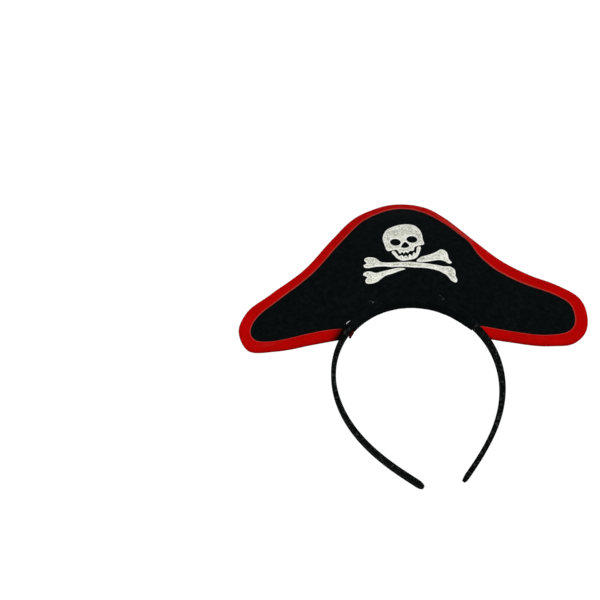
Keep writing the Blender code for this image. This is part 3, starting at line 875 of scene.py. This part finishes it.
def tape_section():
    """(inset, depth) across the front half of the tape, from the rolled lip to the outer fold."""
    line = [(TAPE_WIDTH, STACK_HALF + 0.1 * MM)]
    lip = TAPE_WIDTH - TAPE_LIP
    for degrees in np.linspace(90, -30, 8):
        a = math.radians(degrees)
        line.append((
            lip + TAPE_LIP * math.sin(a),
            TAPE_HALF + TAPE_LIP_STAND - TAPE_LIP * (1 - math.cos(a)),
        ))
    swell_start, swell_end = lip - 0.7 * MM, TAPE_FOLD
    for share in np.linspace(0, 1, 12):
        inset = swell_start + share * (swell_end - swell_start)
        line.append((inset, TAPE_HALF + TAPE_SWELL * math.sin(math.pi * share) - 0.03 * MM))
    for degrees in np.linspace(80, 0, 9):
        a = math.radians(degrees)
        line.append((TAPE_FOLD * (1 - math.cos(a)), TAPE_HALF * math.sin(a)))
    return np.array(line)


def tape_reach(edge, count):
    """How far in the front of the tape reaches at each of its stations, as a share."""
    path = divide(tape_path(edge, 0), count=count)
    table = np.array(TAPE_REACH)
    near = [np.argmin(np.linalg.norm(path - spot * MM, axis=1)) for spot in table[:, :2]]
    shares = np.interp(np.arange(count + 1), near, table[:, 2])
    return even_out(shares, 3)


def tape_bend(edge, count, length):
    """How tightly the tape turns at each of its stations, in radians a metre."""
    middle = divide(tape_path(edge, TAPE_WIDTH / 2), count=count)
    turn = np.unwrap(np.arctan2(*np.gradient(middle, axis=0).T[::-1]))
    return even_out(-np.gradient(turn) * count / length, 6)


def tape_places(edge, section, count, share):
    """Flat points of the section at each station, with the inner corners eased."""
    places = np.stack([divide(tape_path(edge, t), count=count) for t, _ in section], 1)
    eased = np.apply_along_axis(even_out, 0, places, EASE_REACH)
    stations = np.arange(count + 1)
    ends = np.clip(np.minimum(stations, count - stations) / EASE_ENDS, 0, 1)
    ease = ends[:, None] * np.clip(section[:, 0] / TAPE_WIDTH, 0, 1) ** 2
    places = places + ease[..., None] * (eased - places)
    fold = np.argmax(section[:, 0] <= TAPE_FOLD)
    return places[:, fold][:, None] * (1 - share[..., None]) + places * share[..., None]


def edge_binding(edge):
    """Satin tape folded over the hat's edge, with a rolled lip, eased round the tight curves."""
    half = tape_section()
    section = np.vstack([half * (1, -1), half[-2::-1]])
    normals = left_normals(section)
    if normals[len(half), 0] > 0:
        normals = -normals
    length = len(tape_path(edge, 0)) * FINE
    count = round(length / TAPE_STEP)
    along = np.linspace(0, length, count + 1)[:, None]
    inward = section[:, 0] / TAPE_WIDTH
    reach = tape_reach(edge, count)[:, None]
    front = np.where(np.arange(len(section)) < np.argmax(section[:, 0] <= TAPE_FOLD), 1.0, 0.0)
    places = tape_places(edge, section, count, 1 + (reach - 1) * front)
    wander, fine = ripple(places, 9 * MM, 5), ripple(places, 2.2 * MM, 9)
    tight = np.clip(tape_bend(edge, count, length) / PUCKER_BEND, 0, 1)[:, None] * inward**2
    pucker = np.sin(along * math.tau / PUCKER_STEP + 3 * wander)
    relief = MM * (0.07 * wander + 0.02 * fine + 0.10 * tight * pucker)
    out = np.stack([left_normals(divide(tape_path(edge, t), count=count)) for t, _ in section], 1)
    grids = []
    for lift in (relief, relief * 0 - TAPE_WALL):
        inset = section[:, 0] + lift * normals[:, 0]
        depth = section[:, 1] + lift * normals[:, 1]
        flat = places + (section[:, 0] - inset)[..., None] * out
        grids.append(hat_place(flat[..., 0], flat[..., 1], depth))
    across = np.r_[0, np.cumsum(np.linalg.norm(np.diff(section, axis=0), axis=1))]
    run = np.stack(np.broadcast_arrays(along, across, 0), -1).reshape(-1, 3)
    # The painted highlight's mask: a paler band along the rolled lip, and a streak down the tape where
    # it is narrow.
    lip = np.clip((section[:, 0] - TAPE_WIDTH + LIP_HIGHLIGHT_BAND) / LIP_HIGHLIGHT_FADE, 0, 1) * (0.7 + 0.3 * wander)
    narrow = np.clip(0.8 - reach, 0, 0.3) / 0.3
    streak = np.exp(-((inward - STREAK_PLACE) / STREAK_WIDTH) ** 2) * front
    lip = np.maximum(lip, narrow * streak * (0.5 + 0.3 * fine))
    # Darker towards the left end, where the tape goes under the strip.
    stain = np.clip(1.25 - along / END_DARKENING, 0, 1) ** 1.5 + 0 * lip
    points, faces = channel(*grids)
    piece = make("edge_binding_cloth", points, faces, "red_satin", ["edge_binding"], {
        "run": np.vstack([run, run]),
        "lip": np.tile(lip.ravel(), 2),
        "stain": np.tile(stain.ravel(), 2),
    })


# Felt strip round the hoop

STRIP_RISE = 2.6 * MM
STRIP_SHOULDER = 1.4 * MM
STRIP_RAMP = (22 * MM, 28 * MM)  # where the strip's top starts to rise, and over what length
STRIP_EXTRA = 1.7 * MM
STRIP_PRESSED = 12 * MM  # over this length its right end is pressed thin
STRIP_THINNED = 0.75  # and by this share at its very end
STRIP_CELL = 1.2 * MM
STRIP_HUG = STACK_HALF + 0.08 * MM


def strip_span(edge):
    """Arc lengths between which the strip runs, just clear of the tape at both ends."""
    path = tape_path(edge, TAPE_WIDTH)[[0, -1]]
    ends, _ = hoop_nearest(*from_flat(*path.T))
    return ends[0] + 2 * GAP, ends[1] - 2 * GAP


def wrap_strip(edge):
    """Felt folded round the hoop and glued up both faces of the hat."""
    start, end = strip_span(edge)
    along = np.linspace(start, end, round((end - start) / STRIP_CELL))
    half, side = HOOP_THICKNESS / 2, HOOP_WIDTH / 2 + GAP
    pressed = 1 - STRIP_THINNED * np.clip((along - end) / STRIP_PRESSED + 1, 0, 1) ** 2
    under = half + GAP * pressed
    shoulder = half + STRIP_SHOULDER
    wavy = ripple(along[:, None], 6 * MM, 2)
    climb = np.clip((along - STRIP_RAMP[0]) / STRIP_RAMP[1], 0, 1)
    top = half + STRIP_RISE + STRIP_EXTRA * climb**2 * (3 - 2 * climb)
    top = top + (0.45 * wavy + 0.2 * ripple(along[:, None], 1.7 * MM, 4)) * MM
    low_y, top_y = (
        hat_back(*to_flat(*hoop_place(along, 0, out).T[[0, 2]])) for out in (shoulder, top)
    )
    grids = []
    for wall in (STRIP * pressed, 0 * pressed):
        reach = STRIP_HUG + wall
        corners = [
            (top_y - reach, top), (low_y - reach, shoulder + wall / 2),
            (-side - wall, half + wall / 3), (-side - wall, -under),
            (-side, -under - wall), (side, -under - wall), (side + wall, -under),
            (side + wall, half + wall / 3), (low_y + reach, shoulder + wall / 2),
            (top_y + reach, top),
        ]
        line = np.stack([
            np.stack(np.broadcast_arrays(y + 0 * along, out + 0 * along), -1) for y, out in corners
        ], 1)
        grids.append(round_off(line))
    outer, inner = grids
    middle = outer.mean(1, keepdims=True)
    away = (outer - middle) / np.linalg.norm(outer - middle, axis=2, keepdims=True)
    unrolled = np.concatenate([np.broadcast_to(along[:, None, None], outer[..., :1].shape), outer], 2)
    wander, fine = ripple(unrolled, 5 * MM, 6), ripple(unrolled, 1.6 * MM, 8)
    outer = outer + away * (MM * (0.16 * wander + 0.07 * fine))[..., None]
    places = [hoop_place(along[:, None], line[..., 0], line[..., 1]) for line in (outer, inner)]
    piece = make("wrap_strip_cloth", *channel(*places), "felt", ["wrap_strip"])


# Emblem

EMBLEM_CELL = 0.9 * MM
EMBLEM_LINE = 0.45 * MM
EMBLEM_SHOULDER = 0.42 * MM
EMBLEM_THICKNESS = 0.62 * MM
EMBLEM_INSETS = (0.06 * MM, 0.2 * MM, EMBLEM_SHOULDER)
EMBLEM_LIFT = 0.04 * MM
EMBLEM_RIDGE = 0.55 * MM
EMBLEM_RIM = 0.95 * MM
EMBLEM_RIM_FADE = 0.35 * MM


def emblem_piece(name, loops, swell):
    """One bonded patch: rounded over at its edge, with a raised rim and a grainy middle."""
    loops = [smooth(loop, EMBLEM_LINE, closed=True) for loop in loops]
    filled = fill(loops, EMBLEM_CELL, insets=EMBLEM_INSETS)
    corners, edge, _ = filled
    drop = 1 - np.sqrt(1 - (1 - np.clip(edge / EMBLEM_SHOULDER, 0, 1)) ** 2)
    ridge = np.clip(1 - np.abs(edge - EMBLEM_RIDGE) / (0.5 * MM), 0, 1)
    grain = np.clip(edge / MM, 0, 1) * ripple(corners, 1.5 * MM, 11)
    felt = STACK_HALF + swell(corners) + EMBLEM_LIFT
    height = EMBLEM_THICKNESS - EMBLEM_SHOULDER * drop + (0.1 * ridge + 0.07 * grain) * MM
    points, faces = slab(filled, -felt - height, -felt)
    rim = np.clip((EMBLEM_RIM - edge) / EMBLEM_RIM_FADE, 0, 1)
    piece = make(name + "_patch", points, faces, "emblem", [name], {"rim": np.tile(rim, 2)})
    spread = loops[0] - loops[0].mean(0)
    turned = spread @ np.linalg.eigh(spread.T @ spread)[1]
    size = np.maximum(np.ptp(turned, axis=0), LEAST_SIDE)
    area = abs(signed_area(loops[0])) - sum(abs(signed_area(loop)) for loop in loops[1:])
    max(area, LEAST_SHARE * size.prod())


# Glue and the tape's tail

GLUE_LOOKS = {  # half length, half width and height in mm, turn in degrees, how dark, and strings
    # The first dab is left whitish: partly cloudy glue, partly a painted glint.
    "glue_dab_1": (2.7, 0.7, 1.7, 27, 0.0, 0),
    "glue_dab_2": (1.1, 0.8, 0.6, 80, 0.95, 2),
    "glue_dab_3": (1.2, 0.7, 0.6, 10, 0.97, 2),
    "glue_dab_4": (1.5, 0.8, 0.7, -35, 0.97, 2),
}
GLUE_RUN = {"glue_dab_1": (2.3, -1.0)}  # how far a dab has run over the strip, in mm
DAB_LEVELS = (0, 0.35, 0.6, 0.8, 0.93, 0.995)  # heights of a dab's rings, as shares of its own
DAB_AROUND = 20
STRING_STEPS = 14
STRING_STEP = 0.42 * MM
TAIL_CUT = 2.2 * MM  # the tape's spare end stops this far short of its CAD solid
TAIL_GRID = (24, 14)
THREADS = 9


def glue_dab(name, swell):
    """A smeared blob of hot glue with the fine strings that it pulls."""
    long, wide, tall, turn, clear, strings = GLUE_LOOKS[name]
    low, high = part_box(name)
    middle = np.array([(low + high) / 2])
    u, v, _ = (float(value[0]) for value in hat_find(middle))
    u, v = np.array([u, v]) + MM * np.array(GLUE_RUN.get(name, (0, 0)))
    draw = random.Random(name)
    felt = -STACK_HALF - float(swell(np.array([[u, v]]))[0])
    t = math.radians(turn)
    rings = []
    for share in DAB_LEVELS:
        reach = math.sqrt(1 - share**2)
        ring = []
        for a in np.arange(DAB_AROUND) * math.tau / DAB_AROUND:
            lumpy = 1 + 0.22 * noise.noise(Vector((math.cos(a), math.sin(a), middle[0][0] * 90)))
            x, y = long * lumpy * reach * math.cos(a), wide * lumpy * reach * math.sin(a)
            ring.append((
                u + MM * (x * math.cos(t) - y * math.sin(t)),
                v + MM * (x * math.sin(t) + y * math.cos(t)),
                felt - (0.02 + share * tall) * MM,
            ))
        rings.append(ring)
    flat, faces = closed_tube(np.array(rings))
    parts = [(hat_place(*flat.T), faces)]
    for _ in range(strings):
        heading = math.radians(draw.uniform(-60, 240))
        here, line = np.array([u, v]), []
        for step in range(STRING_STEPS):
            line.append((*here, felt - (0.35 - 0.018 * step) * MM))
            here = here + STRING_STEP * np.array([math.cos(heading), math.sin(heading)])
            heading += draw.uniform(-0.35, 0.45)
        radii = np.linspace(0.16, 0.05, STRING_STEPS) * MM
        parts.append(tube(hat_place(*np.array(line).T), radii))
    points, faces = join(parts)
    make(name + "_blob", points, faces, "glue", [name], {"clear": np.full(len(points), clear)})


def binding_tail(strip_start):
    """The tape's spare end, crumpled under the hoop at the strip's end, with a few loose threads."""
    low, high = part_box("binding_tail")
    ends = hoop_nearest(np.array([low.x, high.x]), np.array([low.z, high.z]))[0]
    under = -HOOP_THICKNESS / 2 - 2 * GAP - STRIP
    along = np.linspace(ends[0], ends[1] - TAIL_CUT, TAIL_GRID[0])[:, None]
    y = np.linspace(0, high.y - 0.4 * MM, TAIL_GRID[1])[None, :]
    share = np.linspace(0, 1, TAIL_GRID[0])[:, None]
    tucked = np.clip((strip_start - along) / (0.6 * MM), 0, 1)
    crumple = np.sin(y / (0.8 * MM) + 5 * share) * np.sin(7 * share + 1)
    top = hoop_place(along, y, under + tucked * (STRIP + GAP / 2))
    bottom = hoop_place(along, y, under - (0.35 + 0.2 * crumple) * MM * (1.25 - share))
    parts = [channel(top, bottom)]
    draw = random.Random(7)
    for _ in range(THREADS):
        start = np.array([ends[0], draw.uniform(0, 4) * MM, under + 0.3 * MM])
        line = np.array([
            start + step * np.array([-0.2, draw.uniform(-0.1, 0.1), -0.12]) * MM
            for step in range(7)
        ])
        parts.append(tube(hoop_place(*line.T), np.linspace(0.09, 0.03, 7) * MM, sides=5))
    points, faces = join(parts)
    # The tail: a faint share of the painted lip highlight, and darkened nearly all the way.
    piece = make("binding_tail_cloth", points, faces, "red_satin", ["binding_tail"], {
        "run": points, "lip": np.full(len(points), 0.1), "stain": np.full(len(points), 0.9),
    })


# Studio

CAMERA_AZIMUTH = math.radians(-10.88)
CAMERA_ELEVATION = math.radians(-29.27)
CAMERA_ROLL = math.radians(9.46)
CAMERA_DISTANCE = 0.5958
CAMERA_AIM = Vector((-0.0768, 0, 0.0157 + HOOP_CENTRE_Z))
CAMERA_LENS = 44.82
FLOOR_DROP = 0.28
FLOOR_HALF = 6
WORLD_LIGHT = 0.35
WORLD_SEEN = 1.04  # how bright the white surroundings look


def camera():
    a, e = CAMERA_AZIMUTH, CAMERA_ELEVATION
    back = Vector((math.sin(a) * math.cos(e), -math.cos(a) * math.cos(e), math.sin(e)))
    where = CAMERA_DISTANCE * back + Vector((0, 0, HOOP_CENTRE_Z))
    ahead = (CAMERA_AIM - where).normalized()
    right = ahead.cross(Vector((0, 0, 1))).normalized()
    up = right.cross(ahead)
    turned = math.cos(CAMERA_ROLL) * right - math.sin(CAMERA_ROLL) * up
    turned_up = math.sin(CAMERA_ROLL) * right + math.cos(CAMERA_ROLL) * up
    data = bpy.data.cameras.new("camera")
    data.lens = CAMERA_LENS
    data.sensor_width = 36
    made = add("camera", data)
    made.matrix_world = Matrix.Translation(where) @ Matrix(
        (turned, turned_up, -ahead)
    ).transposed().to_4x4()
    bpy.context.scene.camera = made


def softbox(name, direction, distance, size, power):
    """A square light that faces the hat from a direction."""
    data = bpy.data.lights.new(name, "AREA")
    data.size, data.energy = size, power
    made = add(name, data)
    towards = Vector(direction).normalized()
    made.location = towards * distance
    made.rotation_euler = towards.to_track_quat("Z", "Y").to_euler()


def studio():
    """White all round, a pale floor far below, and soft lights from the front and above."""
    scene = bpy.context.scene
    scene.view_settings.view_transform = "Standard"
    world = bpy.data.worlds.new("studio")
    scene.world = world
    world.use_nodes = True
    tree = world.node_tree
    seen = node(tree, "ShaderNodeLightPath").outputs["Is Camera Ray"]
    level = maths(tree, "MULTIPLY_ADD", seen, WORLD_SEEN - WORLD_LIGHT, WORLD_LIGHT)
    background = tree.nodes["Background"]
    background.inputs["Color"].default_value = (1, 1, 1, 1)
    tree.links.new(level, background.inputs["Strength"])
    softbox("key", (-0.5, -1.0, -0.35), 1.3, 0.6, 11)
    softbox("fill", (0.9, -1.0, 0.1), 1.4, 0.9, 7)
    softbox("rim", (0.6, 0.5, 1.0), 1.2, 0.5, 3)
    low, half = cad_box[0].z - FLOOR_DROP, FLOOR_HALF
    corners = [(-half, -half, low), (half, -half, low), (half, half, low), (-half, half, low)]
    floor = add_mesh("floor", corners, [(0, 1, 2, 3)])
    paint, _, shader = blank("floor", Roughness=0.9, Specular_IOR_Level=0.1)
    shader.inputs["Base Color"].default_value = (0.86, 0.86, 0.85, 1)
    floor.data.materials.append(paint)


# Build

def repaint_hidden():
    """The CAD pieces that stay as they are get their full material."""
    slots = {"hoop_core": "plastic", "glue_bead_front": "clear_glue", "glue_bead_back": "clear_glue"}
    for name, slot in slots.items():
        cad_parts[name].data.materials[0] = MATERIALS[slot]


def build():
    outline = smooth(outlines("front_felt")[0], 2 * MM, closed=True)
    edge = felt_edge(outlines("front_felt")[0])
    emblem_loops = {name: outlines(name) for name in EMBLEM}
    swells = puff_field(outline)
    ribbon_sleeve([ribbon_tip(-1), ribbon_tip(1)])
    foam_sheet(outline)
    felts(outline, swells, [loop for loops in emblem_loops.values() for loop in loops])
    edge_binding(edge)
    wrap_strip(edge)
    for name in EMBLEM:
        emblem_piece(name, emblem_loops[name], swells[0])
    for name in GLUE_LOOKS:
        glue_dab(name, swells[0])
    binding_tail(strip_span(edge)[0])
    repaint_hidden()


build()
studio()
camera()
